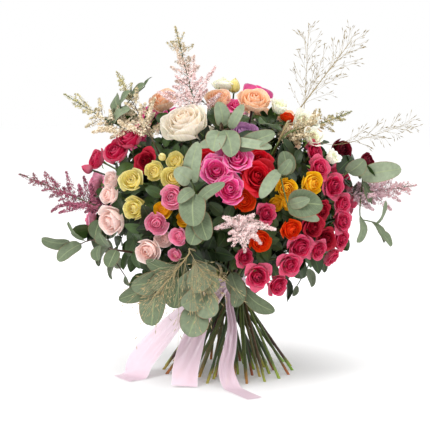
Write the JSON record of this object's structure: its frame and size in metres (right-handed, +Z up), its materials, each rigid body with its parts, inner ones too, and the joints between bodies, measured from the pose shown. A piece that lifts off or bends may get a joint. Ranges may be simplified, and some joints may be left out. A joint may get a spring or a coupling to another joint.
{
  "type": "mixed flower bouquet",
  "caption": "Hand-tied spiral bouquet of roses, lisianthus, eucalyptus, astilbe and grass, bound with twine and a sheer ribbon, standing on its cut stems.",
  "frame": {"origin": "the middle of the centre stem's flat cut end, on the surface that the bouquet stands on", "axes": "+Z up through the binding, -Y towards the front that carries the ribbon's knot, +X to the right seen from the front"},
  "size_m": [0.6353, 0.4705, 0.5506],
  "materials": {
    "petals_peach": "soft matt petals, deeper towards the heart",
    "petals_white": "soft matt petals, deeper towards the heart",
    "petals_hot_pink": "soft matt petals, deeper towards the heart",
    "petals_cream": "soft matt petals, deeper towards the heart",
    "petals_orange": "soft matt petals, deeper towards the heart",
    "petals_lavender": "soft matt petals, deeper towards the heart",
    "petals_red": "soft matt petals, deeper towards the heart",
    "petals_yellow": "soft matt petals, deeper towards the heart",
    "petals_raspberry": "soft matt petals, deeper towards the heart",
    "petals_crimson": "soft matt petals, deeper towards the heart",
    "petals_burgundy": "soft matt petals, deeper towards the heart",
    "petals_pale_yellow": "soft matt petals, deeper towards the heart",
    "petals_pink": "soft matt petals, deeper towards the heart",
    "petals_blush": "soft matt petals, deeper towards the heart",
    "eucalyptus_leaf": "matt blue-green leaf, paler underneath",
    "astilbe_pale": "matt, dense with tiny florets",
    "astilbe_cream": "matt, dense with tiny florets",
    "astilbe_crimson": "matt, dense with tiny florets",
    "astilbe_lilac": "matt, dense with tiny florets",
    "astilbe_beige": "matt, dense with tiny florets",
    "grass_straw": "dry straw with a soft sheen",
    "twine": "natural jute",
    "ribbon": "sheer organza, pale lilac-pink",
    "stem": "fresh cut stems, green to brown, satin",
    "foliage": "dark green rose leaves and sepals, satin"
  },
  "bodies": {
    "root": {"astilbe_beige_right": "astilbe_beige", "astilbe_cream_left": "astilbe_cream", "astilbe_crimson_back": "astilbe_crimson", "astilbe_crimson_left": "astilbe_crimson", "astilbe_lilac_right": "astilbe_lilac", "astilbe_pale_back": "astilbe_pale", "astilbe_pale_front": "astilbe_pale", "astilbe_pale_top": "astilbe_pale", "blush_spray_left": "petals_blush", "burgundy_spray_right": "petals_burgundy", "cream_rose": "petals_cream", "cream_spray_back": "petals_cream", "crimson_rose_left": "petals_crimson", "crimson_spray_right": "petals_crimson", "eucalyptus_back_left": "eucalyptus_leaf", "eucalyptus_back_middle": "eucalyptus_leaf", "eucalyptus_back_right": "eucalyptus_leaf", "eucalyptus_centre_left": "eucalyptus_leaf", "eucalyptus_centre_right": "eucalyptus_leaf", "eucalyptus_crown": "eucalyptus_leaf", "eucalyptus_left": "eucalyptus_leaf", "eucalyptus_low_front": "eucalyptus_leaf", "eucalyptus_low_left": "eucalyptus_leaf", "eucalyptus_low_right": "eucalyptus_leaf", "eucalyptus_right": "eucalyptus_leaf", "eucalyptus_top_left": "eucalyptus_leaf", "grass_low_front": "grass_straw", "grass_right": "grass_straw", "hot_pink_roses_front": "petals_hot_pink", "hot_pink_spray_back": "petals_hot_pink", "hot_pink_spray_top": "petals_hot_pink", "lavender_rose": "petals_lavender", "lisianthus_spray_right": "petals_white", "orange_rose_top": "petals_orange", "orange_rose_upper": "petals_orange", "orange_roses_lower": "petals_orange", "orange_spray_back": "petals_orange", "pale_yellow_spray_upper": "petals_pale_yellow", "peach_rose_left": "petals_peach", "peach_rose_middle": "petals_peach", "peach_rose_right": "petals_peach", "peach_spray_back": "petals_peach", "pink_rose_left": "petals_pink", "pink_spray_back": "petals_pink", "pink_spray_left": "petals_pink", "raspberry_rose_centre": "petals_raspberry", "raspberry_spray_back": "petals_raspberry", "raspberry_spray_left": "petals_raspberry", "raspberry_spray_low": "petals_raspberry", "raspberry_spray_lower": "petals_raspberry", "raspberry_spray_right": "petals_raspberry", "red_rose_left": "petals_red", "red_roses_front": "petals_red", "red_spray_back": "petals_red", "ribbon": "ribbon", "twine_binding": "twine", "white_spray_top": "petals_white", "yellow_roses_right": "petals_yellow", "yellow_spray_back": "petals_pale_yellow", "yellow_spray_left": "petals_yellow"}
  },
  "joints": []
}
